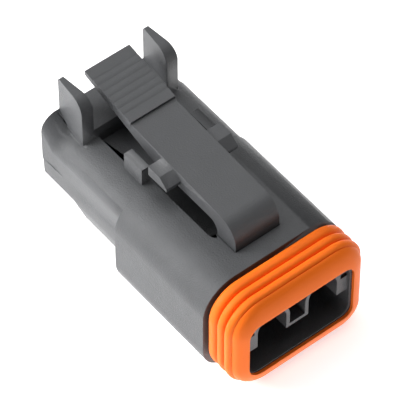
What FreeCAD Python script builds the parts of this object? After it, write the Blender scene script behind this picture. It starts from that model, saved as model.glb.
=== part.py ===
import FreeCAD, Part
import math
import os
import Sketcher
from FreeCAD import Placement, Rotation, Vector

# Sealed plug connector with four contact cavities, in millimetres.
# X runs across the plug, +Y from the mating edge to the wire end, +Z up to the latch.
# The origin is under the middle of the plug, on the face that it rests on.

SIZES = [
    # overall
    ("length", 42.4, "mating edge to wire end"),
    ("front_width", 23.1, "front shell, across"),
    ("front_height", 17.5, "front shell, resting face to top"),
    ("front_corner", 5.3, "front shell, corner radius"),
    ("front_length", 25.3, "mating edge to the step behind the front shell"),
    # rear shell
    ("body_width", 21.2, "rear shell, across the side ridges"),
    ("body_shoulder", 3.2, "rear shell, radius of the upper corners"),
    ("body_drop", 0.3, "rear shell, top below the front shell's top"),
    ("ridge_height", 11.1, "height of the ridge along each side"),
    ("floor_width", 14.6, "rear shell, width of the underside"),
    ("saddle_width", 18.6, "raised strip that carries the front shell's top to the rear"),
    ("tail_length", 6.5, "stretch at the wire end whose underside is lifted"),
    ("tail_lift", 2.8, "how far that underside is lifted"),
    ("collar_length", 4.6, "band round the wire end"),
    ("collar_height", 19.1, "top of the band"),
    ("collar_corner", 2.6, "radius of the band's corners"),
    ("collar_proud", 0.12, "band, proud of the shell on each side"),
    ("deck_length", 6.1, "raised deck between the guards, from the wire end"),
    # guards beside the thumb pad
    ("guard_gap", 12.5, "between the guards"),
    ("guard_wall", 1.8, "thickness of a guard"),
    ("guard_height", 27.0, "top of a guard"),
    ("guard_foot", 6.1, "front edge of a guard, from the wire end"),
    ("guard_brow", 25.0, "height where the front edge starts to lean"),
    ("guard_crown", 2.6, "front end of the highest edge, from the wire end"),
    ("guard_fall", 1.3, "drop from the crown to the brow's end"),
    ("guard_round", 0.8, "radius of the guard's upper corners"),
    # guide blocks beside the latch
    ("block_gap", 9.8, "between the guide blocks"),
    ("block_wall", 1.4, "thickness of a guide block"),
    ("block_start", 26.0, "mating edge to the blocks"),
    ("block_length", 3.8, "length of a block"),
    ("block_height", 20.5, "top of a block"),
    # channel under the latch
    ("channel_width", 9.4, "channel, between the walls"),
    ("channel_start", 12.7, "mating edge to the channel's rounded end"),
    ("channel_floor", 16.2, "height of the channel's floor"),
    # nose inside the seal
    ("nose_width", 17.1, "nose, inside width"),
    ("nose_height", 9.9, "nose, inside height"),
    ("nose_corner", 1.6, "nose, inside corner radius"),
    ("nose_wall", 0.95, "nose, wall"),
    ("nose_setback", 0.5, "nose edge behind the mating edge"),
    ("socket_depth", 14.0, "mating edge to the bulkhead"),
    # walls round the upper contact cavities
    ("row_pitch", 8.66, "between the two columns of cavities"),
    ("cavity_radius", 2.45, "radius of a cavity's mouth"),
    ("cavity_height", 10.9, "height of the upper cavities' centres"),
    ("cavity_wall", 0.58, "wall round a cavity"),
    ("cavity_sill", 8.2, "height of the lower edge of the cavity walls"),
    ("cavity_setback", 1.0, "front of the cavity walls behind the mating edge"),
    ("web_top", 11.2, "top of the web between a cavity and the side wall"),
    ("level_pitch", 4.2, "between the two levels of contact bores"),
    ("contact_radius", 1.6, "contact bore in the bulkhead"),
    # latch
    ("latch_width", 7.4, "latch arm, across"),
    ("root_start", 9.45, "mating edge to the front of the latch root"),
    ("root_thick", 3.8, "latch root, front to back"),
    ("root_play", 0.08, "running clearance round the latch root"),
    ("arch_radius", 3.4, "outside radius of the latch arch"),
    ("arch_height", 21.9, "top of the arch"),
    ("arch_inner", 1.7, "inside radius of the latch arch"),
    ("throat_height", 19.65, "underside of the arm behind the arch"),
    ("knee_start", 31.5, "mating edge to the front of the thumb pad"),
    ("knee_height", 22.95, "top of the arm at the thumb pad"),
    ("knee_under", 21.1, "underside of the arm at the thumb pad"),
    ("heel_start", 26.5, "mating edge to where the underside starts to rise"),
    ("latch_reach", 41.45, "mating edge to the free end of the latch"),
    ("tip_height", 24.5, "top of the arm at its free end"),
    ("tip_thick", 0.5, "thickness of the arm at its free end"),
    ("pad_proud", 0.42, "thumb pad above the arm"),
    ("pad_width", 7.6, "thumb pad, across"),
    ("pad_margin", 1.75, "plain band behind the grip grooves"),
    ("grip_pitch", 1.1, "between grip grooves"),
    ("grip_depth", 0.2, "depth of a grip groove"),
    ("grip_width", 0.36, "width of a grip groove"),
    # hooks on the latch
    ("hook_width", 12.1, "across both hooks"),
    ("hook_start", 21.0, "mating edge to the hooks' tips"),
    ("hook_back", 24.9, "mating edge to the locking faces"),
    ("hook_flat", 2.4, "length of a hook's flat top"),
    ("hook_top", 22.3, "top of a hook"),
    ("hook_drop", 1.2, "fall of the ramp in front of the flat top"),
    ("hook_under", 20.6, "underside of a hook"),
    # seal on the nose
    ("seal_opening", 17.8, "seal, opening width"),
    ("seal_mouth", 10.6, "seal, opening height"),
    ("seal_corner", 1.9, "seal, corner radius of the opening"),
    ("seal_length", 6.5, "mating edge to the front shell's shoulder"),
    ("seal_outer_corner", 3.6, "seal, corner radius round the ribs"),
    ("lip_rise", 1.7, "length of the sloped front face"),
    ("lip_slope", 65.5, "its lean, in degrees from the plug's axis"),
    ("rib_gap", 0.4, "shadow gap between the seal and the shoulder"),
    ("rib_width", 1.35, "width of a rib"),
    ("rib_pitch", 1.55, "between ribs"),
    ("rib_depth", 0.55, "depth of the grooves between ribs"),
    ("rib_round", 0.55, "radius of a rib's edges"),
    ("seal_fit", 0.05, "clearance between the seal and the nose"),
    # wire end
    ("chamber_width", 14.8, "wire seal chamber, across"),
    ("chamber_height", 9.0, "wire seal chamber, height"),
    ("chamber_corner", 2.0, "wire seal chamber, corner radius"),
    ("chamber_depth", 8.0, "wire end to the chamber's floor"),
    ("chamber_fit", 0.05, "clearance round the wire seal and the retainer"),
    ("grommet_length", 5.6, "wire seal, length"),
    ("grommet_groove", 0.4, "wire seal, depth of the grooves round it"),
    ("wire_radius", 1.0, "wire hole in the wire seal"),
    ("flange_width", 15.8, "retainer flange, across"),
    ("flange_height", 10.0, "retainer flange, height"),
    ("flange_thick", 1.0, "retainer flange, thickness"),
    ("retainer_setback", 0.2, "retainer inside the wire end"),
    ("entry_radius", 1.75, "wire entry in the retainer"),
]


class Size:
    """A length in mm, kept together with the sheet expression that gives it."""

    def __init__(self, value, text):
        self.value = float(value)
        self.text = text

    def joined(self, other, sign, value):
        return Size(value, "(" + self.text + " " + sign + " " + sized(other).text + ")")

    def __add__(self, other):
        return self.joined(other, "+", self.value + sized(other).value)

    def __sub__(self, other):
        return self.joined(other, "-", self.value - sized(other).value)

    def __mul__(self, other):
        return self.joined(other, "*", self.value * sized(other).value)

    def __truediv__(self, other):
        return self.joined(other, "/", self.value / sized(other).value)

    def __neg__(self):
        return Size(-self.value, "-" + self.text)


def sized(thing):
    """A Size as it is, and a plain number as one."""
    if isinstance(thing, Size):
        return thing
    return Size(thing, repr(thing))


def root(size):
    """The square root of a Size."""
    return Size(math.sqrt(size.value), "sqrt(" + size.text + ")")


def make_sheet(doc):
    """The sheet of driving dimensions, one row for each size."""
    sheet = doc.addObject("Spreadsheet::Sheet", "Sizes")
    for row, (alias, value, note) in enumerate(SIZES, start=1):
        sheet.set("A%d" % row, alias)
        sheet.set("B%d" % row, str(value))
        sheet.set("C%d" % row, note)
        sheet.setAlias("B%d" % row, alias)
    doc.recompute()
    return sheet


doc = FreeCAD.newDocument("sealed_plug")
sheet = make_sheet(doc)
S = {alias: Size(sheet.get(alias), "Sizes." + alias) for alias, _, _ in SIZES}
ZERO = Size(0.0, "0")

# places along the plug, from the driving dimensions
front = -S["length"] / 2
rear = S["length"] / 2
shoulder = front + S["seal_length"]
step = front + S["front_length"]
tail = rear - S["tail_length"]
collar = rear - S["collar_length"]
deck = rear - S["deck_length"]
bulkhead = front + S["socket_depth"]
chamber = rear - S["chamber_depth"]

# places across and up
half_front = S["front_width"] / 2
half_body = S["body_width"] / 2
half_floor = S["floor_width"] / 2
top = S["front_height"]
body_top = top - S["body_drop"]
middle = top / 2
cavity_x = S["row_pitch"] / 2
levels = (middle - S["level_pitch"] / 2, middle + S["level_pitch"] / 2)


def bind(thing, name, size):
    """Sets a property of an object and ties it to the sheet."""
    size = sized(size)
    setattr(thing, name, size.value)
    thing.setExpression(name, size.text)


def box_path(half_width, low, high):
    """Corners of a rectangle that is centred on the plug's middle plane."""
    return [(-half_width, low), (half_width, low), (half_width, high), (-half_width, high)]


def strip_path(left, right, low, high):
    """Corners of a rectangle between two sides."""
    return [(left, low), (right, low), (right, high), (left, high)]


def rounded_path(half_width, low, high, radius):
    """A rectangle with four round corners: a third entry is the radius of the arc that leads to the point."""
    inner = half_width - radius
    return [
        (-inner, low, radius),
        (inner, low),
        (half_width, low + radius, radius),
        (half_width, high - radius),
        (inner, high, radius),
        (-inner, high),
        (-half_width, high - radius, radius),
        (-half_width, low + radius),
    ]


def shell_path(low):
    """Section of the rear shell: flared sides up to a ridge, upright above it, round upper corners."""
    lean = (half_body - half_floor) / S["ridge_height"]
    foot = half_floor + lean * low
    radius = S["body_shoulder"]
    inner = half_body - radius
    return [
        (-foot, low),
        (foot, low),
        (half_body, S["ridge_height"]),
        (half_body, body_top - radius),
        (inner, body_top, radius),
        (-inner, body_top),
        (-half_body, body_top - radius, radius),
        (-half_body, S["ridge_height"]),
    ]


def on_axis(size, sketch, index, point, way):
    """Ties one coordinate of a sketch point to the sheet."""
    number = sketch.addConstraint(Sketcher.Constraint(way, index, point, size.value))
    sketch.setExpression("Constraints[%d]" % number, size.text)


def arc_between(start, end, radius):
    """An arc that turns left from start to end, or right where the radius is negative."""
    chord = end - start
    half = chord.Length / 2
    rise = math.sqrt(max(radius * radius - half * half, 0.0))
    side = Vector(-chord.y, chord.x, 0).normalize()
    centre = (start + end) / 2 + side * math.copysign(rise, radius)
    circle = Part.Circle(centre, Vector(0, 0, 1), abs(radius))
    first, last = (start, end) if radius > 0 else (end, start)
    angles = [math.atan2(p.y - centre.y, p.x - centre.x) for p in (first, last)]
    return Part.ArcOfCircle(circle, angles[0], angles[1])


def add_path(sketch, path):
    """Draws one closed path in a sketch: lines, and arcs where a point has a radius."""
    places = [tuple(sized(part) for part in point) for point in path]
    points = [Vector(place[0].value, place[1].value, 0) for place in places]
    first = sketch.GeometryCount
    ends = []
    for number, place in enumerate(places):
        start = points[number - 1]
        end = points[number]
        if len(place) == 3:
            arc = arc_between(start, end, place[2].value)
            index = sketch.addGeometry(arc, False)
            ends.append((index, 1, 2) if place[2].value > 0 else (index, 2, 1))
            radius = sketch.addConstraint(Sketcher.Constraint("Radius", index, abs(place[2].value)))
            size = place[2] if place[2].value > 0 else -place[2]
            sketch.setExpression("Constraints[%d]" % radius, size.text)
        else:
            index = sketch.addGeometry(Part.LineSegment(start, end), False)
            ends.append((index, 1, 2))
    for number, place in enumerate(places):
        index, _, finish = ends[number]
        following, begin, _ = ends[(number + 1) % len(places)]
        sketch.addConstraint(Sketcher.Constraint("Coincident", index, finish, following, begin))
        on_axis(place[0], sketch, index, finish, "DistanceX")
        on_axis(place[1], sketch, index, finish, "DistanceY")
    return first


def add_circle(sketch, x, y, radius):
    """Draws one circle in a sketch."""
    x, y, radius = sized(x), sized(y), sized(radius)
    circle = Part.Circle(Vector(x.value, y.value, 0), Vector(0, 0, 1), radius.value)
    index = sketch.addGeometry(circle, False)
    number = sketch.addConstraint(Sketcher.Constraint("Radius", index, radius.value))
    sketch.setExpression("Constraints[%d]" % number, radius.text)
    on_axis(x, sketch, index, 3, "DistanceX")
    on_axis(y, sketch, index, 3, "DistanceY")


def origin_plane(body, role):
    """One of a body's own origin planes."""
    return next(o for o in body.Origin.OriginFeatures if o.Role == role)


def sketch_in(body, name, plane, offset, paths=(), circles=()):
    """A sketch on a plane of a body, moved along the plane's normal."""
    sketch = body.newObject("Sketcher::SketchObject", name)
    sketch.AttachmentSupport = (origin_plane(body, plane), [""])
    sketch.MapMode = "FlatFace"
    offset = sized(offset)
    sketch.AttachmentOffset = Placement(Vector(0, 0, offset.value), Rotation())
    sketch.setExpression("AttachmentOffset.Base.z", offset.text)
    for path in paths:
        add_path(sketch, path)
    for x, y, radius in circles:
        add_circle(sketch, x, y, radius)
    return sketch


def grown(body, feature, before, more):
    """Recomputes and makes sure that a feature added or took material, as it should."""
    doc.recompute()
    after = feature.Shape.Volume
    if (after > before + 1e-6) != more or (after < before - 1e-6) == more:
        raise RuntimeError("%s changed the volume of %s from %.4f to %.4f" % (feature.Name, body.Label, before, after))


def volume_of(body):
    """The volume so far."""
    if body.Tip is None or body.Tip.Shape.isNull():
        return 0.0
    return body.Tip.Shape.Volume


def along(body, name, start, end, paths=(), circles=(), cut=False):
    """A stretch of constant section along the plug, from start to end, added or cut."""
    before = volume_of(body)
    sketch = sketch_in(body, name + "_section", "XZ_Plane", -sized(start), paths, circles)
    feature = body.newObject("PartDesign::Pocket" if cut else "PartDesign::Pad", name)
    feature.Profile = sketch
    feature.Reversed = not cut
    bind(feature, "Length", sized(end) - start)
    grown(body, feature, before, not cut)
    return feature


def across(body, name, left, right, paths=(), circles=(), cut=False):
    """A side view, drawn across the plug from left to right, added or cut."""
    before = volume_of(body)
    origin = right if cut else left
    sketch = sketch_in(body, name + "_section", "YZ_Plane", origin, paths, circles)
    feature = body.newObject("PartDesign::Pocket" if cut else "PartDesign::Pad", name)
    feature.Profile = sketch
    bind(feature, "Length", sized(right) - left)
    grown(body, feature, before, not cut)
    return feature


def upright(body, name, low, high, paths, cut=False):
    """A plan view, drawn up from low to high, added or cut."""
    before = volume_of(body)
    origin = high if cut else low
    sketch = sketch_in(body, name + "_section", "XY_Plane", origin, paths)
    feature = body.newObject("PartDesign::Pocket" if cut else "PartDesign::Pad", name)
    feature.Profile = sketch
    bind(feature, "Length", sized(high) - low)
    grown(body, feature, before, not cut)
    return feature


def edges_where(shape, test):
    """Names of the edges of a shape that pass a test."""
    return ["Edge%d" % n for n, edge in enumerate(shape.Edges, start=1) if test(edge)]


def round_edges(body, name, radius, test):
    """A fillet on the edges of a body's last feature that pass a test."""
    base = body.Tip
    names = edges_where(base.Shape, test)
    if not names:
        raise RuntimeError("no edges for " + name)
    feature = body.newObject("PartDesign::Fillet", name)
    feature.Base = (base, names)
    bind(feature, "Radius", radius)
    doc.recompute()
    return feature


def runs_along(edge, axis):
    """Whether an edge is straight and lies along an axis."""
    if edge.Curve.TypeId != "Part::GeomLine":
        return False
    way = edge.Vertexes[-1].Point - edge.Vertexes[0].Point
    return abs(abs(way.normalize().dot(axis)) - 1) < 1e-6


def lies_at(edge, y=None, z=None):
    """Whether the middle of an edge has the given coordinates."""
    point = edge.CenterOfMass
    near = 1e-4
    if y is not None and abs(point.y - y.value) > near:
        return False
    return z is None or abs(point.z - z.value) <= near


def new_body(label):
    """An empty body at the origin, with its name."""
    body = doc.addObject("PartDesign::Body", label)
    body.Label = label
    body.Placement = Placement(Vector(0, 0, 0), Rotation())
    return body


def make_shell(body):
    """The outer shell: a wide front, a narrower rear with flared sides, and a band at the wire end."""
    along(body, "front_shell", shoulder, step, [rounded_path(half_front, ZERO, top, S["front_corner"])])
    along(body, "rear_shell", step, tail, [shell_path(ZERO)])
    along(body, "tail_shell", tail, rear, [shell_path(S["tail_lift"])])
    corner = S["front_corner"]
    half_saddle = S["saddle_width"] / 2
    inner = half_front - corner
    edge = top - corner + root(corner * corner - (half_saddle - inner) * (half_saddle - inner))
    below = body_top - S["body_shoulder"] / 2
    saddle = [
        (-half_saddle, below),
        (half_saddle, below),
        (half_saddle, edge),
        (inner, top, corner),
        (-inner, top),
        (-half_saddle, edge, corner),
    ]
    along(body, "saddle", step, deck, [saddle])
    half_collar = half_body + S["collar_proud"]
    half_deck = S["guard_gap"] / 2 + S["guard_wall"]
    along(body, "deck", deck, collar, [box_path(half_deck, below, S["collar_height"])])
    bend = S["collar_corner"]
    band = [
        (-half_collar, S["ridge_height"]),
        (half_collar, S["ridge_height"]),
        (half_collar, S["collar_height"] - bend),
        (half_collar - bend, S["collar_height"], bend),
        (bend - half_collar, S["collar_height"]),
        (-half_collar, S["collar_height"] - bend, bend),
    ]
    along(body, "collar", collar, rear, [band])


def make_guards(body):
    """Two plates that stand at the wire end and keep cables off the thumb pad."""
    foot = rear - S["guard_foot"]
    crown = rear - S["guard_crown"]
    back = rear
    fall = S["guard_fall"]
    height = S["guard_height"]
    lean = foot + (S["guard_height"] - S["guard_brow"]) / 2
    outline = [
        (foot, body_top - fall),
        (back, body_top - fall),
        (back, height),
        (crown, height),
        (lean, height - fall),
        (foot, S["guard_brow"] - fall),
    ]
    inner = S["guard_gap"] / 2
    outer = inner + S["guard_wall"]
    across(body, "right_guard", inner, outer, [outline])
    across(body, "left_guard", -outer, -inner, [outline])
    uprights = Vector(1, 0, 0)
    round_edges(
        body,
        "guard_corners",
        S["guard_round"],
        lambda e: runs_along(e, uprights) and e.CenterOfMass.z > S["guard_brow"].value - fall.value - 0.1,
    )


def make_guides(body):
    """Guide blocks beside the latch, and the channel that the mating half's tab slides in."""
    inner = S["block_gap"] / 2
    outer = inner + S["block_wall"]
    start = front + S["block_start"]
    end = start + S["block_length"]
    below = body_top - S["body_shoulder"] / 2
    upright(body, "right_block", below, S["block_height"], [strip_path(inner, outer, start, end)])
    upright(body, "left_block", below, S["block_height"], [strip_path(-outer, -inner, start, end)])
    half = S["channel_width"] / 2
    bow = front + S["channel_start"]
    channel = [(-half, deck), (-half, bow + half), (ZERO, bow, half), (half, bow + half, half), (half, deck)]
    upright(body, "channel", S["channel_floor"], top, [channel], cut=True)


def make_nose(body):
    """The thin nose inside the seal, open to the bulkhead."""
    half = S["nose_width"] / 2
    low = middle - S["nose_height"] / 2
    high = middle + S["nose_height"] / 2
    wall = S["nose_wall"]
    corner = S["nose_corner"]
    start = front + S["nose_setback"]
    along(body, "nose", start, shoulder, [rounded_path(half + wall, low - wall, high + wall, corner + wall)])
    along(body, "socket", start, bulkhead, [rounded_path(half, low, high, corner)], cut=True)


def cavity_path(side):
    """Mouth of an upper contact cavity: upright walls under a round crown."""
    radius = S["cavity_radius"]
    sill = S["cavity_sill"] - radius / 2
    centre = cavity_x if side > 0 else -cavity_x
    left = centre - radius
    right = centre + radius
    height = S["cavity_height"]
    return [(left, sill), (right, sill), (right, height), (centre, height + radius, radius), (left, height, radius)]


def make_cavities(body):
    """Thin walls round the upper cavities: a hollow column between them and a web to each side wall."""
    start = front + S["cavity_setback"]
    half = S["nose_width"] / 2 + S["nose_wall"] / 8
    high = middle + S["nose_height"] / 2
    sill = S["cavity_sill"]
    wall = S["cavity_wall"]
    along(body, "cavity_block", start, bulkhead, [box_path(half, sill, high + S["nose_wall"] / 8)])
    along(body, "upper_cavities", start, bulkhead, [cavity_path(1), cavity_path(-1)], cut=True)
    # the hollow of the column follows the two cavities at one wall's thickness
    reach = S["cavity_radius"] + wall
    ceiling = high - wall
    rise = ceiling - S["cavity_height"]
    waist = cavity_x - reach
    mouth = cavity_x - root(reach * reach - rise * rise)
    hollow = [
        (-waist, sill + wall),
        (waist, sill + wall),
        (waist, S["cavity_height"]),
        (mouth, ceiling, -reach),
        (-mouth, ceiling),
        (-waist, S["cavity_height"], -reach),
    ]
    along(body, "column_hollow", start, bulkhead, [hollow], cut=True)
    outer = cavity_x + reach
    side = S["nose_width"] / 2
    web = S["web_top"]
    corner = S["nose_corner"]
    pocket = [(outer, web), (side, web), (side, high - corner), (side - corner, high, corner), (outer, high)]
    if side.value - corner.value < outer.value:
        pocket = [(outer, web), (side, web), (side, high - corner), (outer, high - corner)]
    mirrored = [(-point[0], point[1]) for point in pocket[:4]]
    along(body, "right_pocket", start, bulkhead, [pocket], cut=True)
    along(body, "left_pocket", start, bulkhead, [mirrored], cut=True)


def four_holes(radius):
    """Two levels of two holes, one behind each contact cavity."""
    return [(side * 1, level, radius) for side in (cavity_x, -cavity_x) for level in levels]


def make_wire_end(body):
    """Contact bores, and the chamber for the wire seal with a seat for its retainer."""
    half = S["chamber_width"] / 2
    low = middle - S["chamber_height"] / 2
    high = middle + S["chamber_height"] / 2
    corner = S["chamber_corner"]
    along(body, "contact_bores", bulkhead, chamber, circles=four_holes(S["contact_radius"]), cut=True)
    along(body, "wire_chamber", chamber, rear, [rounded_path(half, low, high, corner)], cut=True)
    wide = S["flange_width"] / 2 + S["chamber_fit"]
    tall = S["flange_height"] / 2 + S["chamber_fit"]
    seat = rear - S["retainer_setback"] - S["flange_thick"]
    rim = rounded_path(wide, middle - tall, middle + tall, corner + S["chamber_fit"])
    along(body, "retainer_seat", seat, rear, [rim], cut=True)


def make_root_seat(body):
    """The round seat that the latch's root turns in."""
    half = S["latch_width"] / 2 + S["root_play"]
    radius = S["root_thick"] / 2 + S["root_play"]
    centre = front + S["root_start"] + S["root_thick"] / 2
    across(body, "root_seat", -half, half, circles=[(centre, top, radius)], cut=True)


def make_housing():
    """The moulded housing."""
    body = new_body("housing")
    make_shell(body)
    make_guards(body)
    make_guides(body)
    make_nose(body)
    make_cavities(body)
    make_wire_end(body)
    make_root_seat(body)
    return body


def make_latch():
    """The latch arm: a round root, an arch, a long arm with hooks at its sides, and a ribbed thumb pad."""
    body = new_body("latch")
    half = S["latch_width"] / 2
    start = front + S["root_start"]
    back = start + S["root_thick"]
    arch = S["arch_radius"]
    inner = S["arch_inner"]
    crest = start + arch
    throat = back + inner
    knee = front + S["knee_start"]
    heel = front + S["heel_start"]
    end = front + S["latch_reach"]
    bend = S["root_thick"] / 2
    side = [
        (back, S["throat_height"] - inner),
        (throat, S["throat_height"], -inner),
        (heel, S["throat_height"]),
        (knee, S["knee_under"]),
        (end, S["tip_height"] - S["tip_thick"]),
        (end, S["tip_height"]),
        (knee, S["knee_height"]),
        (crest, S["arch_height"]),
        (start, S["arch_height"] - arch, arch),
        (start, top),
        (start + bend, top - bend, bend),
        (back, top, bend),
    ]
    across(body, "arm", -half, half, [side])
    # the pad lies on the sloping end of the arm
    proud = S["pad_proud"]
    pad = [
        (knee, S["knee_height"]),
        (end, S["tip_height"]),
        (end, S["tip_height"] + proud),
        (knee, S["knee_height"] + proud),
    ]
    pad[0] = (knee, S["knee_height"] - S["tip_thick"] / 2)
    pad[1] = (end, S["tip_height"] - S["tip_thick"] / 2)
    wide = S["pad_width"] / 2
    across(body, "thumb_pad", -wide, wide, [pad])
    make_grip(body, knee, end, wide)
    make_hooks(body, half)
    return body


def make_grip(body, knee, end, wide):
    """Cross grooves in the thumb pad, as many as its length holds."""
    length = S["latch_reach"] - S["knee_start"]
    slope = (S["tip_height"] - S["knee_height"]) / length
    room = length - S["pad_margin"]
    count = int(room.value / S["grip_pitch"].value)
    grooves = []
    for number in range(count):
        y = end - S["pad_margin"] - S["grip_pitch"] * number
        high = S["tip_height"] + S["pad_proud"] - slope * (end - y)
        half = S["grip_width"] / 2
        grooves.append([(y - half, high + half), (y, high - S["grip_depth"]), (y + half, high + half)])
    across(body, "grip_grooves", -wide, wide, grooves, cut=True)


def make_hooks(body, half):
    """A hook at each side of the arm: an upright locking face behind a ramp."""
    tip = front + S["hook_start"]
    back = front + S["hook_back"]
    flat = back - S["hook_flat"]
    hook = [
        (back, S["hook_under"]),
        (back, S["hook_top"]),
        (flat, S["hook_top"]),
        (tip, S["hook_top"] - S["hook_drop"]),
        (tip, S["hook_under"]),
    ]
    outer = S["hook_width"] / 2
    root_side = half - S["hook_flat"] / 4
    across(body, "right_hook", root_side, outer, [hook])
    across(body, "left_hook", -outer, -root_side, [hook])


def flat_sketch(name, y, paths=(), circles=()):
    """A free sketch across the plug, at one place along it."""
    y = sized(y)
    sketch = doc.addObject("Sketcher::SketchObject", name)
    sketch.Placement = Placement(Vector(0, y.value, 0), Rotation(Vector(1, 0, 0), 90))
    sketch.setExpression("Placement.Base.y", y.text)
    for path in paths:
        add_path(sketch, path)
    for x, z, radius in circles:
        add_circle(sketch, x, z, radius)
    return sketch


def slab(name, start, length, paths=(), circles=(), taper=None):
    """A plate across the plug, from start towards the wire end, its outline widening by a taper."""
    extrusion = doc.addObject("Part::Extrusion", name)
    extrusion.Base = flat_sketch(name + "_section", start, paths, circles)
    extrusion.DirMode = "Normal"
    extrusion.Solid = True
    extrusion.Reversed = True
    bind(extrusion, "LengthFwd", length)
    if taper is not None:
        bind(extrusion, "TaperAngle", taper)
    return extrusion


def rounded_slab(name, start, length, path, radius):
    """A plate with both of its outer edges rounded."""
    plate = slab(name + "_plate", start, length, [path])
    doc.recompute()
    feature = doc.addObject("Part::Fillet", name)
    feature.Base = plate
    sides = Vector(0, 1, 0)
    feature.Edges = [
        (number, radius.value, radius.value)
        for number, edge in enumerate(plate.Shape.Edges, start=1)
        if not runs_along(edge, sides)
    ]
    return feature


def fused(name, pieces):
    """Several shapes joined into one."""
    fuse = doc.addObject("Part::MultiFuse", name)
    fuse.Shapes = pieces
    fuse.Refine = True
    return fuse


def cut_from(name, base, tool, label=None):
    """One shape cut out of another."""
    cut = doc.addObject("Part::Cut", name)
    cut.Base = base
    cut.Tool = tool
    if label is not None:
        cut.Label = label
    return cut


def make_interface_seal():
    """The seal round the nose: three ribs behind a sloped lip."""
    half = half_front
    corner = S["seal_outer_corner"]
    depth = S["rib_depth"]
    outline = rounded_path(half, ZERO, top, corner)
    core = rounded_path(half - depth, depth, top - depth, corner - depth)
    band = slab("seal_band", front + S["lip_rise"], S["seal_length"] - S["lip_rise"], [core])
    ribs = []
    for number in range(3):
        start = shoulder - S["rib_gap"] - S["rib_width"] - S["rib_pitch"] * number
        ribs.append(rounded_slab("seal_rib_%d" % (number + 1), start, S["rib_width"], outline, S["rib_round"]))
    low = middle - S["seal_mouth"] / 2
    high = middle + S["seal_mouth"] / 2
    mouth = rounded_path(S["seal_opening"] / 2, low, high, S["seal_corner"])
    cone = slab("lip_cone", front, S["lip_rise"], [mouth], taper=S["lip_slope"])
    block = slab("lip_block", front, S["lip_rise"], [outline])
    doc.recompute()
    lip = doc.addObject("Part::Common", "seal_lip")
    lip.Base = cone
    lip.Tool = block
    whole = fused("seal_solid", [band, lip] + ribs)
    fit = S["nose_wall"] + S["seal_fit"]
    wide = S["nose_width"] / 2 + fit
    tall = S["nose_height"] / 2 + fit
    edge = front + S["nose_setback"] - S["seal_fit"]
    bore = rounded_path(wide, middle - tall, middle + tall, S["nose_corner"] + fit)
    inner = slab("seal_bore", edge, S["seal_length"], [bore])
    opening = slab("seal_opening_cut", front - S["lip_rise"], S["seal_length"], [mouth])
    tool = fused("seal_tool", [inner, opening])
    return cut_from("interface_seal", whole, tool, "interface_seal")


def make_wire_seal():
    """The block of soft seal behind the contacts, with grooves round it and a hole for each wire."""
    fit = S["chamber_fit"]
    half = S["chamber_width"] / 2 - fit
    tall = S["chamber_height"] / 2 - fit
    corner = S["chamber_corner"] - fit
    groove = S["grommet_groove"]
    start = chamber + fit
    length = S["grommet_length"]
    core = rounded_path(half - groove, middle - tall + groove, middle + tall - groove, corner - groove)
    full = rounded_path(half, middle - tall, middle + tall, corner)
    pieces = [slab("grommet_core", start, length, [core])]
    width = length / 5
    for number in range(3):
        pieces.append(slab("grommet_rib_%d" % (number + 1), start + width * (2 * number), width, [full]))
    whole = fused("grommet_solid", pieces)
    holes = slab("wire_holes", start - length, length * 3, circles=four_holes(S["wire_radius"]))
    return cut_from("wire_seal", whole, holes, "wire_seal")


def make_retainer():
    """The plate that holds the wire seal in: a plug in the chamber and a flange in its seat."""
    fit = S["chamber_fit"]
    half = S["chamber_width"] / 2 - fit
    tall = S["chamber_height"] / 2 - fit
    start = chamber + fit + S["grommet_length"] + fit
    face = rear - S["retainer_setback"]
    corner = S["chamber_corner"]
    plug = rounded_path(half, middle - tall, middle + tall, corner - fit)
    wide = S["flange_width"] / 2
    high = S["flange_height"] / 2
    rim = rounded_path(wide, middle - high, middle + high, corner)
    body = new_body("seal_retainer")
    along(body, "plug", start, face, [plug])
    along(body, "flange", face - S["flange_thick"] + fit, face, [rim])
    along(body, "entries", start, face, circles=four_holes(S["entry_radius"]), cut=True)
    return body


def check_document():
    """Stops where an object failed."""
    doc.recompute()
    for thing in doc.Objects:
        if "Invalid" in thing.State or "Error" in thing.State:
            raise RuntimeError("%s failed: %s" % (thing.Label, thing.State))


def write(pieces):
    """Tests each piece and writes it to its file."""
    os.makedirs("parts", exist_ok=True)
    for piece in pieces:
        shape = piece.Shape
        if shape.isNull() or not shape.isValid():
            raise RuntimeError(piece.Label + " has no valid shape")
    for piece in pieces:
        shape = piece.Shape
        print(piece.Label, "solids", len(shape.Solids), "volume %.2f" % shape.Volume, shape.BoundBox)
        shape.exportStep(os.path.join("parts", piece.Label + ".step"))


PIECES = [make_housing(), make_latch(), make_interface_seal(), make_wire_seal(), make_retainer()]
check_document()
write(PIECES)
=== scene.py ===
"""A sealed plug with four contact cavities: grey moulded housing, sprung latch arm, orange rubber seal.

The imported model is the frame. Each new surface is worked out with numpy, in millimetres along the frame's
axes: X across the plug, +Y from the mating edge to the wire end, +Z up to the latch.
"""
import math
from types import SimpleNamespace

import bmesh
import bpy
import numpy as np
from bpy.props import FloatProperty, FloatVectorProperty, PointerProperty, StringProperty
from mathutils import Matrix, Vector


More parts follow.
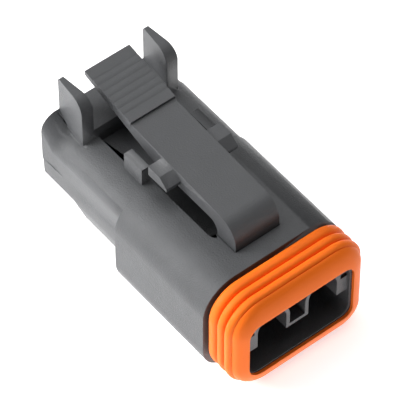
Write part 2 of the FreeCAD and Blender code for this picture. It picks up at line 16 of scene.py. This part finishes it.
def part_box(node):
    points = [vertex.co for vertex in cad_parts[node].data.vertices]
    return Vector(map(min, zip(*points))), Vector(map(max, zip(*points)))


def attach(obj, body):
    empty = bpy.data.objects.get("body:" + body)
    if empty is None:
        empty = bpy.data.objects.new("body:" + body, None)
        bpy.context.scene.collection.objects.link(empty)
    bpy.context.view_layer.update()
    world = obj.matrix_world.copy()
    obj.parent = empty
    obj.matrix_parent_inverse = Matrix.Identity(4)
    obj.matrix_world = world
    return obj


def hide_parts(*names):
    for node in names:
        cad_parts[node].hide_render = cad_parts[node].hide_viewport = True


bl_info = {
    "name": "Sealed plug",
    "version": (1, 0, 0),
    "blender": (4, 5, 0),
    "location": "View3D > Sidebar > Plug",
    "description": "Dresses the packed model of a sealed plug with its finished surfaces and a studio",
    "category": "Object",
}

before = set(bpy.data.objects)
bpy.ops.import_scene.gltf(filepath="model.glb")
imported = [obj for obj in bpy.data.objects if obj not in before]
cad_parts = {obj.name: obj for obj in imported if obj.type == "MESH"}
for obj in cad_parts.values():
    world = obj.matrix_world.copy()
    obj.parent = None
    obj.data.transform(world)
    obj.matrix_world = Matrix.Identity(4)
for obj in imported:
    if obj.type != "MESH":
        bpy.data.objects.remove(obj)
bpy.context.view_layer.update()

MM = 0.001
QUARTER = math.pi / 2
# an edge that turns more than this stays sharp, and facets that turn less than this are one face
SHARP = math.radians(32)
FLAT = math.radians(1)
# points nearer than this are one, in metres
WELD = 1e-6
# how much more a large face counts than a small one in the shading between them
FACE_WEIGHT = 90

# how near a point lies to the cut or the face that it belongs to, in mm
HAIR = 0.01
NEAR = 0.03

# edge lines added to the housing, in mm: along the plug, and the height of the line low on its sides
WELL_START = 8.6
BELLY_START = 4.12
TAIL_START = 14.6
SIDE_LINE = 8.0
# half the run over which the well grows wider, and how far past a line a point counts as behind it
STEP = 0.05

# the guards beside the thumb pad, in mm: the solid's plates, and the fins that they become
PLATE = SimpleNamespace(
    middle=7.15,
    half=0.9,
    start=15.05,
    front=15.11,
    foot=17.0,
    brow_end=18.85,
    brow_foot=23.4,
    crown_start=20.3,
    crown_foot=26.1,
)
FIN = SimpleNamespace(front=15.25, rear=21.2, top=25.4, brow=2.2, edge=0.5, thick=1.9, thin=0.7, middle=7.2)

# the wire end, in mm: the solid's square band, and the slope that it becomes
BAND = SimpleNamespace(start=16.6, side=10.7, top=19.08, corner=(8.12, 16.5), radius=2.6)
SLOPE = SimpleNamespace(end=19.0, foot=11.1, corner=(7.4, 14.0), radius=3.2)

# the channel under the arm, in mm
CHANNEL = SimpleNamespace(
    half=4.7,
    bow=-3.8,
    floor=16.2,
    lowest=12.0,
    fall=3.0,
    power=9,
    well=5.6,
    well_end=15.2,
)

# the rear shell's sides below the shoulder, in mm: half widths and heights
BELLY = SimpleNamespace(
    solid_foot=7.3,
    solid_heel=8.13,
    shoulder=(10.6, 11.1),
    foot=8.6,
    tail_foot=7.9,
    side=10.5,
    lift=2.8,
    heel_reach=8.0,
)

# the seal round the nose, in mm: half sizes, corner radii, and the places along the plug where its ribs meet
SEAL = SimpleNamespace(
    mouth=(8.9, 5.3),
    mouth_corner=1.9,
    bore=(9.55, 5.95),
    bore_corner=2.6,
    brow=10.9,
    brow_drop=0.4,
    brow_corner=4.6,
    outline=11.38,
    outline_drop=0.1,
    corner=5.0,
    valleys=(-15.02, -16.8, -18.25),
    wall=0.45,
    rear_edge=0.12,
    rear_step=0.15,
)
# as a soft ring on its nose can, it sits a little to the right, rounder at its lower left corner and squarer
# at its lower right one
SEAL_LEAN = 0.17
SEAL_CORNERS = (0.97, 0.97, 1.28, 0.8)

# soft square lamps, in metres: place, the point that each faces, its side, and the setting of its power
AIM = (0, 0, 0.01)
LAMPS = {
    "side": ((-0.17, 0.13, 0.10), AIM, 0.1, "key"),
    "top": ((0.05, 0.05, 0.6), AIM, 0.5, "top"),
    "rear": ((-0.22, 0.36, 0.55), AIM, 0.5, "top"),
    "card": ((-0.04, -0.04, 0.0004), (-0.04, -0.04, 1), 0.4, "bounce"),
}

# the round floor, in metres: its radius, how far under the plug it lies, and its number of sides
FLOOR = SimpleNamespace(radius=0.8, drop=0.00002, sides=96)
# how much the floor is lifted towards white for the camera, which leaves the plug's soft shadow
FLOOR_LIFT = 0.68


def new_piece(mesh, material, body, node):
    """An object for a mesh, with its finish, that rides a body and stands for one of its solids."""
    mesh.materials.clear()
    mesh.materials.append(material)
    mesh.shade_smooth()
    mesh.set_sharp_from_angle(angle=SHARP)
    piece = bpy.data.objects.new(mesh.name, mesh)
    bpy.context.collection.objects.link(piece)
    normals = piece.modifiers.new("flat faces stay flat", "WEIGHTED_NORMAL")
    normals.keep_sharp = True
    normals.weight = FACE_WEIGHT
    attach(piece, body)
    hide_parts(node)
    return piece


def grid_mesh(name, points, faces):
    """A mesh from points in mm and faces, turned so that its faces look outward."""
    mesh = bpy.data.meshes.new(name)
    mesh.from_pydata((points.reshape(-1, 3) * MM).tolist(), [], faces)
    shape = bmesh.new()
    shape.from_mesh(mesh)
    if shape.calc_volume(signed=True) < 0:
        bmesh.ops.reverse_faces(shape, faces=shape.faces)
    shape.to_mesh(mesh)
    shape.free()
    return mesh


def welded_copy(node, name, cuts=(), refine=None):
    """A copy of a solid's mesh whose facets are joined to whole faces again.

    Each cut adds an edge line round the mesh, across an axis at a place in mm. The points may then be
    refined, by a function that takes and gives them as rows in mm.
    """
    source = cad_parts[node]
    shape = bmesh.new()
    shape.from_mesh(source.data)
    shape.transform(source.matrix_world)
    bmesh.ops.remove_doubles(shape, verts=shape.verts, dist=WELD)
    for axis, place in cuts:
        normal = Vector([float(axis == index) for index in range(3)])
        everything = list(shape.verts) + list(shape.edges) + list(shape.faces)
        middle = normal * place * MM
        bmesh.ops.bisect_plane(shape, geom=everything, dist=WELD, plane_co=middle, plane_no=normal)
    if refine:
        points = refine(np.array([vertex.co for vertex in shape.verts]) / MM) * MM
        for vertex, place in zip(shape.verts, points):
            vertex.co = place
        shape.normal_update()
    bmesh.ops.dissolve_limit(shape, angle_limit=FLAT, verts=shape.verts, edges=shape.edges)
    mesh = bpy.data.meshes.new(name)
    shape.to_mesh(mesh)
    shape.free()
    return mesh


def grid_faces(rows, columns, close_rows, close_columns):
    """Quads of a grid whose point (i, j) has the number i * columns + j."""
    last_row = rows if close_rows else rows - 1
    last_column = columns if close_columns else columns - 1
    i, j = np.meshgrid(np.arange(last_row), np.arange(last_column), indexing="ij")
    i_next = (i + 1) % rows
    j_next = (j + 1) % columns
    corners = [i * columns + j, i * columns + j_next, i_next * columns + j_next, i_next * columns + j]
    return np.stack(corners, axis=-1).reshape(-1, 4).tolist()


def rectangle_walk(corner_steps, straight_steps):
    """Walk round a rectangle with round corners, anticlockwise from its right side.

    Each step holds where the corner's centre is, as fractions -1 to 1 of the half sizes less the radius,
    and the angle of the outward direction. A straight run keeps its angle while the fraction goes from end
    to end.
    """
    across = []
    up = []
    angle = []
    signs = [(1, 1), (-1, 1), (-1, -1), (1, -1)]
    for number, (sx, sz) in enumerate(signs):
        turn = np.linspace(number * QUARTER, (number + 1) * QUARTER, corner_steps + 1)
        across.append(np.full(corner_steps + 1, float(sx)))
        up.append(np.full(corner_steps + 1, float(sz)))
        angle.append(turn)
        tx, tz = signs[(number + 1) % 4]
        run = np.linspace(0, 1, straight_steps + 1)[1:-1]
        across.append(sx + (tx - sx) * run)
        up.append(sz + (tz - sz) * run)
        angle.append(np.full(run.size, (number + 1) * QUARTER))
    return np.concatenate(across), np.concatenate(up), np.concatenate(angle)


def carried_round(profile, walk, middle, shares):
    """Points of a profile carried round a rectangle with round corners.

    Row i of the profile holds a half width w, a half height h, a corner radius r, a place y along the plug
    and a shift c across it: x = c + a (w - k r) + k r cos t and z = middle + b (h - k r) + k r sin t, for
    the walk's fractions a, b and angle t. The factor k is each corner's share at that corner and blends
    between them, so that a ring can be a little rounder at one corner than at another.
    """
    across, up, angle = walk
    width, height, radius, along, shift = np.asarray(profile, float).T[:, :, None]
    right, left = 1 + across, 1 - across
    above, below = 1 + up, 1 - up
    weights = (right * above, left * above, left * below, right * below)
    radius = radius * sum(share * weight / 4 for share, weight in zip(shares, weights))
    x = shift + across * (width - radius) + radius * np.cos(angle)
    z = middle + up * (height - radius) + radius * np.sin(angle)
    y = np.broadcast_to(along, x.shape)
    return np.stack([x, y, z], axis=-1)


def linear(colour):
    """A colour written as sRGB hex, as the linear RGBA that a shader takes."""
    parts = [int(colour[i:i + 2], 16) / 255 for i in (1, 3, 5)]
    return [p / 12.92 if p <= 0.04045 else ((p + 0.055) / 1.055) ** 2.4 for p in parts] + [1.0]


def add_node(tree, kind, inputs=(), **settings):
    """Adds a node: settings are its properties, inputs are pairs of socket and value or output to link."""
    node = tree.nodes.new(kind)
    for name, value in settings.items():
        setattr(node, name, value)
    for socket, value in inputs:
        if isinstance(value, bpy.types.NodeSocket):
            tree.links.new(value, node.inputs[socket])
        else:
            node.inputs[socket].default_value = value
    return node


def moulded(name, colour, edge, roughness, specular, grain, depth, mottle):
    """A moulded surface: an even colour with a faint mottle, a grain, and softened edges.

    The edge width, the grain's width and its depth are in mm. The mottle is the share by which the tone
    goes up and down, over clouds of 3 mm.
    """
    cloud_width = 3 * MM
    material = bpy.data.materials.new(name)
    material.use_nodes = True
    tree = material.node_tree
    shader = tree.nodes["Principled BSDF"]
    place = add_node(tree, "ShaderNodeTexCoord").outputs["Object"]
    fine = add_node(
        tree,
        "ShaderNodeTexNoise",
        [("Vector", place), ("Scale", 1 / (grain * MM)), ("Detail", 3.0), ("Roughness", 0.6)],
    )
    cloud = add_node(
        tree,
        "ShaderNodeTexNoise",
        [("Vector", place), ("Scale", 1 / cloud_width), ("Detail", 6.0)],
    )
    even = linear(colour)[:3]
    dark = [part * (1 - mottle) for part in even] + [1.0]
    light = [min(part * (1 + mottle), 1.0) for part in even] + [1.0]
    # sockets 6 and 7 are the two colours of a colour mix, and output 2 is its colour
    tone = add_node(
        tree,
        "ShaderNodeMix",
        [("Factor", cloud.outputs["Fac"]), (6, dark), (7, light)],
        data_type="RGBA",
    )
    soft = add_node(tree, "ShaderNodeBevel", [("Radius", edge * MM)], samples=6)
    bump = add_node(
        tree,
        "ShaderNodeBump",
        [
            ("Height", fine.outputs["Fac"]),
            ("Strength", 1.0),
            ("Distance", depth * MM),
            ("Normal", soft.outputs["Normal"]),
        ],
    )
    tree.links.new(tone.outputs[2], shader.inputs["Base Color"])
    tree.links.new(bump.outputs["Normal"], shader.inputs["Normal"])
    shader.inputs["Roughness"].default_value = roughness
    shader.inputs["Specular IOR Level"].default_value = specular
    return material


class PlugColours(bpy.types.PropertyGroup):
    """Colours of the plug's finishes, as sRGB hex."""

    housing: StringProperty(name="Housing", description="Moulded housing", default="#444547")
    latch: StringProperty(name="Latch", description="Latch arm", default="#454648")
    seal: StringProperty(name="Seal", description="Seal round the nose", default="#fa741f")
    wire_seal: StringProperty(name="Wire seal", description="Seal round the wires", default="#f56a22")
    retainer: StringProperty(name="Retainer", description="Plate behind the wire seal", default="#444547")


class PlugSizes(bpy.types.PropertyGroup):
    """Sizes of the finished surfaces, in mm."""

    lip: FloatProperty(
        name="Lip",
        description="Rounded front of the seal, along the plug, in mm",
        default=1.5,
    )
    groove: FloatProperty(
        name="Rib groove",
        description="Depth between the seal's ribs, in mm",
        default=1.0,
    )
    shell_edge: FloatProperty(
        name="Housing edge",
        description="Softening of the housing's edges, in mm",
        default=0.12,
    )
    latch_edge: FloatProperty(
        name="Latch edge",
        description="Softening of the arm's edges, in mm",
        default=0.05,
    )


class StageSettings(bpy.types.PropertyGroup):
    """The camera's place and lens, and the light."""

    lens: FloatProperty(name="Lens", description="Focal length, in mm on a 36 mm sensor", default=303.6)
    place: FloatVectorProperty(
        name="Camera",
        description="The camera's place",
        default=(-0.1831, -0.2282, 0.3790),
        subtype="TRANSLATION",
        unit="LENGTH",
    )
    azimuth: FloatProperty(
        name="Azimuth",
        description="The camera's turn round the plug",
        default=math.radians(-38.9),
        subtype="ANGLE",
    )
    elevation: FloatProperty(
        name="Elevation",
        description="The camera's angle above the floor",
        default=math.radians(51.4),
        subtype="ANGLE",
    )
    roll: FloatProperty(
        name="Roll",
        description="The camera's roll",
        default=math.radians(0.1),
        subtype="ANGLE",
    )
    key: FloatProperty(
        name="Side light",
        description="Power of the low lamp at the left, in W",
        default=0.64,
        subtype="POWER",
    )
    top: FloatProperty(
        name="Top light",
        description="Power of each of the two lamps above, in W",
        default=1.9,
        subtype="POWER",
    )
    bounce: FloatProperty(
        name="Card light",
        description="Power of the light from the white card that the plug lies on, in W",
        default=0.5,
        subtype="POWER",
    )
    ambient: FloatProperty(name="Ambient", description="Strength of the light from all round", default=0.02)


def at(values, place):
    """Which values lie on a face's place."""
    return abs(values - place) < NEAR


def spread_on_arc(points, chosen, centre, radius, start, end):
    """Sets chosen outline points evenly on an arc in the side view, in their order along the plug.

    With s from 0 to 1 over the points, y = cy + r cos a and z = cz + r sin a, where a goes from the start
    angle to the end angle with s.
    """
    steps, rank = np.unique(points[chosen, 1:].round(2), axis=0, return_inverse=True)
    angle = start + (end - start) * rank.ravel() / (len(steps) - 1)
    points[chosen, 1] = centre[0] + radius * np.cos(angle)
    points[chosen, 2] = centre[1] + radius * np.sin(angle)


def refined_guards(points):
    """The guards as thin fins: lower, with a round brow, and thinner towards the wire end."""
    x, y, z = abs(points[:, 0]), points[:, 1].copy(), points[:, 2].copy()
    plate = at(abs(x - PLATE.middle), PLATE.half) & (y > PLATE.start) & (z > PLATE.foot)
    brow = plate & (z > PLATE.brow_foot) & (y < PLATE.brow_end)
    crown = plate & (z > PLATE.crown_foot) & (y > PLATE.crown_start)
    brow_centre = (FIN.front + FIN.brow, FIN.top - FIN.brow)
    crown_centre = (FIN.rear - FIN.edge, FIN.top - FIN.edge)
    spread_on_arc(points, brow, brow_centre, FIN.brow, math.pi, QUARTER)
    spread_on_arc(points, crown, crown_centre, FIN.edge, QUARTER, 0.0)
    points[plate & (y < PLATE.front) & ~brow, 1] = FIN.front
    along = (points[:, 1] - FIN.front) / (FIN.rear - FIN.front)
    half = (FIN.thick + (FIN.thin - FIN.thick) * along) / 2
    side = np.sign(x - PLATE.middle) * half + FIN.middle
    points[plate, 0] = (np.sign(points[:, 0]) * side)[plate]
    return points


def refined_collar(points):
    """The wire end as a slope that rises out of the shell, where the solid has a square step.

    The band's front edge goes back to the slope's end, inward along its sides and down along its top. Its
    corners keep their angle on a corner of the slope's own centre and radius.
    """
    x, y, z = abs(points[:, 0]), points[:, 1], points[:, 2]
    corner_x, corner_z = BAND.corner
    slope_x, slope_z = SLOPE.corner
    round_corner = at(np.hypot(x - corner_x, z - corner_z), BAND.radius)
    edge = (abs(y - BAND.start) < HAIR) & ((x > BAND.side) | round_corner | (z > BAND.top))
    bend = edge & (x > corner_x) & (z > corner_z)
    low = edge & ~bend & (z <= corner_z + HAIR)
    angle = np.arctan2(z - corner_z, x - corner_x)
    rise = np.clip((z - SLOPE.foot) / (corner_z - SLOPE.foot), 0, 1)
    low_z = SLOPE.foot + (slope_z - SLOPE.foot) * rise
    straight_x = np.where(low, slope_x + SLOPE.radius, x)
    straight_z = np.where(low, low_z, slope_z + SLOPE.radius)
    new_x = np.where(bend, slope_x + SLOPE.radius * np.cos(angle), straight_x)
    new_z = np.where(bend, slope_z + SLOPE.radius * np.sin(angle), straight_z)
    points[edge, 0] = (np.sign(points[:, 0]) * new_x)[edge]
    points[edge, 2] = new_z[edge]
    points[edge, 1] = SLOPE.end
    return points


def refined_slot(points):
    """The channel's floor falling towards its front end, where the arm leaves it open.

    The fall goes evenly from nothing at the rear shell's start to its whole at the bow's centre.
    """
    x, y, z = points.T
    reach = CHANNEL.half + NEAR
    inside = (abs(x) < reach) & ((y > CHANNEL.bow) | (np.hypot(x, y - CHANNEL.bow) < reach))
    share = np.clip((BELLY_START - y) / (BELLY_START - CHANNEL.bow), 0, 1)
    floor = inside & at(z, CHANNEL.floor)
    points[floor, 2] = (CHANNEL.floor - CHANNEL.fall * share)[floor]
    return points


def refined_channel(points):
    """The channel's front end as a square end with small corners, by a superellipse.

    A point at (x, y) on the bow's circle of radius r goes to r |x / r|^(2 / n) across and r |y / r|^(2 / n)
    ahead of its centre, for the power n.
    """
    x, y, z = points.T
    from_centre = np.hypot(x, y - CHANNEL.bow)
    rim = (y < CHANNEL.bow + HAIR / 10) & at(from_centre, CHANNEL.half) & (z > CHANNEL.lowest)
    power = 2 / CHANNEL.power
    across = np.clip(abs(x) / CHANNEL.half, 0, 1) ** power
    ahead = np.clip(abs(y - CHANNEL.bow) / CHANNEL.half, 0, 1) ** power
    points[rim, 0] = (np.sign(x) * CHANNEL.half * across)[rim]
    points[rim, 1] = (CHANNEL.bow - CHANNEL.half * ahead)[rim]
    return points


def refined_well(points):
    """The channel wider behind the guide blocks, under the thumb pad."""
    x, y, z = points.T
    behind = (y > WELL_START) & (y < CHANNEL.well_end)
    wall = at(abs(x), CHANNEL.half) & behind & (z > CHANNEL.floor - 0.1)
    points[wall, 0] = (np.sign(x) * CHANNEL.well)[wall]
    return points


def refined_belly(points):
    """The rear shell's sides nearly upright down to a line, and its underside lifted.

    The solid's sides run straight from the shoulder down to its foot. With t from 0 at the new foot to 1 at
    the side line, they go from the foot's half width to the side's, and from the lift up to the line.
    """
    x, y, z = abs(points[:, 0]), points[:, 1], points[:, 2]
    shoulder_x, shoulder_z = BELLY.shoulder
    height = SIDE_LINE - BELLY.lift
    rear = y > BELLY_START - HAIR
    tail = y > TAIL_START + STEP
    leaning_x = BELLY.solid_foot + (shoulder_x - BELLY.solid_foot) * z / shoulder_z
    side = rear & at(x, leaning_x) & (z < shoulder_z - STEP)
    under = rear & ~side & (z < HAIR)
    heel = tail & ~side & at(z, BELLY.lift) & (x < BELLY.heel_reach)
    t = np.clip(np.where(tail, (z - BELLY.lift) / height, z / SIDE_LINE), 0, 1)
    foot = np.where(tail, BELLY.tail_foot, BELLY.foot)
    above = np.clip((z - SIDE_LINE) / (shoulder_z - SIDE_LINE), 0, 1)
    side_x = foot + (BELLY.side - foot) * t + (shoulder_x - BELLY.side) * above
    side_z = np.where(z > SIDE_LINE, z, BELLY.lift + height * t)
    heel_x = np.where(heel, x * BELLY.tail_foot / BELLY.solid_heel, x)
    under_x = np.where(under, x * foot / BELLY.solid_foot, heel_x)
    new_x = np.where(side, side_x, under_x)
    points[:, 2] = np.where(side, side_z, np.where(under, BELLY.lift, z))
    points[:, 0] = np.sign(points[:, 0]) * new_x
    return points


def refined_housing(points):
    """The housing's points with all of its finer forms."""
    parts = (refined_slot, refined_collar, refined_guards, refined_channel, refined_well, refined_belly)
    for refine in parts:
        points = refine(points)
    return points


class PLUG_OT_housing(bpy.types.Operator):
    """Makes the moulded housing with its softened edges"""

    bl_idname = "plug.housing"
    bl_label = "Housing"

    def execute(self, context):
        # Nylon with glass fibre, from an etched mould: a dull even satin, cloudy in tone. The etching is
        # finer than a twentieth of a millimetre, and is drawn coarser so that it shows.
        material = moulded(
            "Nylon, moulded with a fine grain",
            context.scene.plug_colours.housing,
            context.scene.plug_sizes.shell_edge,
            roughness=0.5,
            specular=0.35,
            grain=0.22,
            depth=0.07,
            mottle=0.2,
        )
        lines = (BELLY_START, WELL_START - STEP, WELL_START + STEP, TAIL_START)
        cuts = [(1, y) for y in lines] + [(2, SIDE_LINE)]
        mesh = welded_copy("housing", "housing_shell", cuts, refined_housing)
        new_piece(mesh, material, "plug", "housing")
        return {"FINISHED"}


class PLUG_OT_latch(bpy.types.Operator):
    """Makes the latch arm with its thumb pad and hooks"""

    bl_idname = "plug.latch"
    bl_label = "Latch arm"

    def execute(self, context):
        # The same nylon from a smoother part of the mould: a little more even, with crisp pad grooves.
        material = moulded(
            "Nylon, moulded smooth",
            context.scene.plug_colours.latch,
            context.scene.plug_sizes.latch_edge,
            roughness=0.45,
            specular=0.35,
            grain=0.22,
            depth=0.04,
            mottle=0.12,
        )
        new_piece(welded_copy("latch", "latch_arm_shell"), material, "latch_arm", "latch")
        return {"FINISHED"}


def seal_profile(sizes):
    """Section of the seal: rows of half width, half height, corner radius, place along and shift across.

    It goes out from the opening over the lip, back over three ribs, in behind them and forward along the
    nose. With u from 0 at the opening to 1 at the outline, the lip's face lies
    s = L (0.5 u^1.4 + 0.3 u^4 + 0.2 u^16) behind the seal's front. Across a rib, with t from -1 to 1, it
    lies d (1 - (1 - |t|^2.6)^(1 / 2.6)) below its crest.
    """
    low, high = (np.array(corner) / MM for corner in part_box("interface_seal"))
    front, rear = low[1], high[1]
    half_height = (high[2] - low[2]) / 2
    mouth = np.array(SEAL.mouth)
    brow = np.array([SEAL.brow, half_height - SEAL.brow_drop])
    outline = np.array([SEAL.outline, half_height - SEAL.outline_drop])

    u = np.concatenate([np.linspace(0, 0.8, 17), 1 - 0.2 * np.cos(np.linspace(0, QUARTER, 13)[1:])])
    face = front + sizes.lip * (0.5 * u ** 1.4 + 0.3 * u ** 4 + 0.2 * u ** 16)
    corner = SEAL.mouth_corner + (SEAL.brow_corner - SEAL.mouth_corner) * u
    sections = [np.column_stack([mouth + np.outer(u, brow - mouth), corner, face, SEAL_LEAN * u])]

    t = -np.cos(np.linspace(0.04, math.pi - 0.04, 23))
    depth = sizes.groove * (1 - (1 - abs(t) ** 2.6) ** (1 / 2.6))
    lean = np.full(t.size, SEAL_LEAN)
    ends = SEAL.valleys + (front + sizes.lip,)
    for start, end in reversed(list(zip(ends, ends[1:]))):
        along = (start + end) / 2 + abs(start - end) / 2 * t
        sections.append(
            np.column_stack([outline[0] - depth, outline[1] - depth, SEAL.corner - depth, along, lean])
        )

    inward = sizes.groove + SEAL.rear_step
    sections.append(
        [
            (*(outline - sizes.groove), SEAL.corner - sizes.groove, rear - SEAL.rear_edge, SEAL_LEAN),
            (*(outline - inward), SEAL.corner - inward, rear, SEAL_LEAN),
            (*SEAL.bore, SEAL.bore_corner, rear, 0.0),
            (*SEAL.bore, SEAL.bore_corner, front + SEAL.wall, 0.0),
            (*SEAL.mouth, SEAL.mouth_corner, front + SEAL.wall, 0.0),
        ]
    )
    return np.vstack(sections)


class PLUG_OT_interface_seal(bpy.types.Operator):
    """Makes the ribbed seal round the nose"""

    bl_idname = "plug.interface_seal"
    bl_label = "Seal round the nose"

    def execute(self, context):
        # Silicone rubber from a smooth mould: a full even orange, with a dull sheen on the ribs' crests.
        material = moulded(
            "Silicone rubber, moulded",
            context.scene.plug_colours.seal,
            0.1,
            roughness=0.5,
            specular=0.12,
            grain=0.3,
            depth=0.005,
            mottle=0.02,
        )
        low, high = (np.array(corner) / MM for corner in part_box("interface_seal"))
        walk = rectangle_walk(20, 10)
        profile = seal_profile(context.scene.plug_sizes)
        points = carried_round(profile, walk, (low[2] + high[2]) / 2, SEAL_CORNERS)
        rows, columns = points.shape[:2]
        mesh = grid_mesh("seal_ring", points, grid_faces(rows, columns, True, True))
        new_piece(mesh, material, "plug", "interface_seal")
        return {"FINISHED"}


class PLUG_OT_wire_end(bpy.types.Operator):
    """Makes the wire seal and its retainer, with softened edges"""

    bl_idname = "plug.wire_end"
    bl_label = "Wire end"

    def execute(self, context):
        colours = context.scene.plug_colours
        # The same rubber, cast softer: it shows through the wire entries as a plain orange.
        rubber = moulded(
            "Silicone rubber, soft",
            colours.wire_seal,
            0.12,
            roughness=0.45,
            specular=0.35,
            grain=0.3,
            depth=0.006,
            mottle=0.02,
        )
        # A small nylon plate with the housing's satin and a finer grain.
        plate = moulded(
            "Nylon, moulded plate",
            colours.retainer,
            0.1,
            roughness=0.5,
            specular=0.5,
            grain=0.16,
            depth=0.012,
            mottle=0.04,
        )
        block = welded_copy("wire_seal", "wire_seal_block")
        new_piece(block, rubber, "plug", "wire_seal")
        cover = welded_copy("seal_retainer", "retainer_plate")
        new_piece(cover, plate, "plug", "seal_retainer")
        return {"FINISHED"}


def lamp(name, place, target, size, power):
    """A square soft lamp that faces a target."""
    data = bpy.data.lights.new(name, "AREA")
    data.shape = "SQUARE"
    data.size = size
    data.energy = power
    light = bpy.data.objects.new(name, data)
    bpy.context.collection.objects.link(light)
    light.location = place
    light.rotation_mode = "QUATERNION"
    light.rotation_quaternion = (Vector(target) - Vector(place)).to_track_quat("-Z", "Y")
    return light


def seen_by_camera(tree):
    """1 for what the camera, a gloss or a clear surface sees, and 0 for light that only falls on things."""
    path = add_node(tree, "ShaderNodeLightPath")
    first = add_node(
        tree,
        "ShaderNodeMath",
        [(0, path.outputs["Is Camera Ray"]), (1, path.outputs["Is Glossy Ray"])],
        operation="MAXIMUM",
    )
    both = add_node(
        tree,
        "ShaderNodeMath",
        [(0, first.outputs[0]), (1, path.outputs["Is Transmission Ray"])],
        operation="MAXIMUM",
    )
    return both.outputs[0]


class PLUG_OT_stage(bpy.types.Operator):
    """Sets up the floor, the light and the camera"""

    bl_idname = "plug.stage"
    bl_label = "Stage"

    def execute(self, context):
        scene = context.scene
        stage = scene.plug_stage
        scene.view_settings.view_transform = "Standard"
        self.world(scene, stage)
        self.floor()
        for name, (place, target, size, power) in LAMPS.items():
            lamp(name, place, target, size, getattr(stage, power))
        self.camera(scene, stage)
        return {"FINISHED"}

    def world(self, scene, stage):
        """A white surround that the camera sees at full strength and that lights the plug only faintly."""
        world = bpy.data.worlds.new("studio")
        world.use_nodes = True
        tree = world.node_tree
        background = tree.nodes["Background"]
        background.inputs["Color"].default_value = (1, 1, 1, 1)
        strength = add_node(
            tree,
            "ShaderNodeMapRange",
            [("Value", seen_by_camera(tree)), ("To Min", stage.ambient), ("To Max", 1.0)],
        )
        tree.links.new(strength.outputs["Result"], background.inputs["Strength"])
        scene.world = world

    def floor(self):
        """A flat white disc just under the plug."""
        turn = np.linspace(0, 2 * math.pi, FLOOR.sides, endpoint=False)
        level = np.full(FLOOR.sides, -FLOOR.drop)
        rim = np.stack([FLOOR.radius * np.cos(turn), FLOOR.radius * np.sin(turn), level], axis=-1)
        mesh = bpy.data.meshes.new("floor")
        mesh.from_pydata(rim.tolist(), [], [list(range(FLOOR.sides))])
        floor = bpy.data.objects.new("floor", mesh)
        bpy.context.collection.objects.link(floor)
        # Matt white paper: no sheen, only the plug's soft shadow and a breath of the seal's orange.
        material = bpy.data.materials.new("Paper, matt white")
        material.use_nodes = True
        tree = material.node_tree
        shader = tree.nodes["Principled BSDF"]
        shader.inputs["Base Color"].default_value = linear("#f4f4f4")
        shader.inputs["Roughness"].default_value = 0.9
        shader.inputs["Specular IOR Level"].default_value = 0.1
        shader.inputs["Emission Color"].default_value = (1, 1, 1, 1)
        lift = add_node(
            tree,
            "ShaderNodeMath",
            [(0, seen_by_camera(tree)), (1, FLOOR_LIFT)],
            operation="MULTIPLY",
        )
        tree.links.new(lift.outputs[0], shader.inputs["Emission Strength"])
        mesh.materials.append(material)

    def camera(self, scene, stage):
        """A camera that looks along its azimuth and elevation, turned by its roll."""
        sa, ca = math.sin(stage.azimuth), math.cos(stage.azimuth)
        se, ce = math.sin(stage.elevation), math.cos(stage.elevation)
        back = Vector((sa * ce, -ca * ce, se))
        level = Vector((ca, sa, 0))
        rise = back.cross(level)
        right = level * math.cos(stage.roll) + rise * math.sin(stage.roll)
        up = back.cross(right)
        data = bpy.data.cameras.new("camera")
        data.lens = stage.lens
        data.sensor_width = 36
        data.clip_start = 0.01
        data.clip_end = 20
        camera = bpy.data.objects.new("camera", data)
        bpy.context.collection.objects.link(camera)
        camera.rotation_mode = "QUATERNION"
        camera.rotation_quaternion = Matrix((right, up, back)).transposed().to_quaternion()
        camera.location = stage.place
        scene.camera = camera


class PLUG_PT_panel(bpy.types.Panel):
    """Lists the plug's pieces in the sidebar"""

    bl_idname = "PLUG_PT_panel"
    bl_label = "Sealed plug"
    bl_space_type = "VIEW_3D"
    bl_region_type = "UI"
    bl_category = "Plug"

    def draw(self, context):
        for group in (context.scene.plug_colours, context.scene.plug_sizes, context.scene.plug_stage):
            box = self.layout.box()
            for name in group.__annotations__:
                box.prop(group, name)
        for operator in PIECES:
            self.layout.operator(operator.bl_idname)


PIECES = (PLUG_OT_housing, PLUG_OT_latch, PLUG_OT_interface_seal, PLUG_OT_wire_end, PLUG_OT_stage)
GROUPS = (PlugColours, PlugSizes, StageSettings)


def register():
    for cls in GROUPS + PIECES + (PLUG_PT_panel,):
        bpy.utils.register_class(cls)
    bpy.types.Scene.plug_colours = PointerProperty(type=PlugColours)
    bpy.types.Scene.plug_sizes = PointerProperty(type=PlugSizes)
    bpy.types.Scene.plug_stage = PointerProperty(type=StageSettings)


def unregister():
    del bpy.types.Scene.plug_stage
    del bpy.types.Scene.plug_sizes
    del bpy.types.Scene.plug_colours
    for cls in reversed(GROUPS + PIECES + (PLUG_PT_panel,)):
        bpy.utils.unregister_class(cls)


def main():
    register()
    bpy.ops.plug.housing()
    bpy.ops.plug.latch()
    bpy.ops.plug.interface_seal()
    bpy.ops.plug.wire_end()
    bpy.ops.plug.stage()


if __name__ == "__main__":
    main()
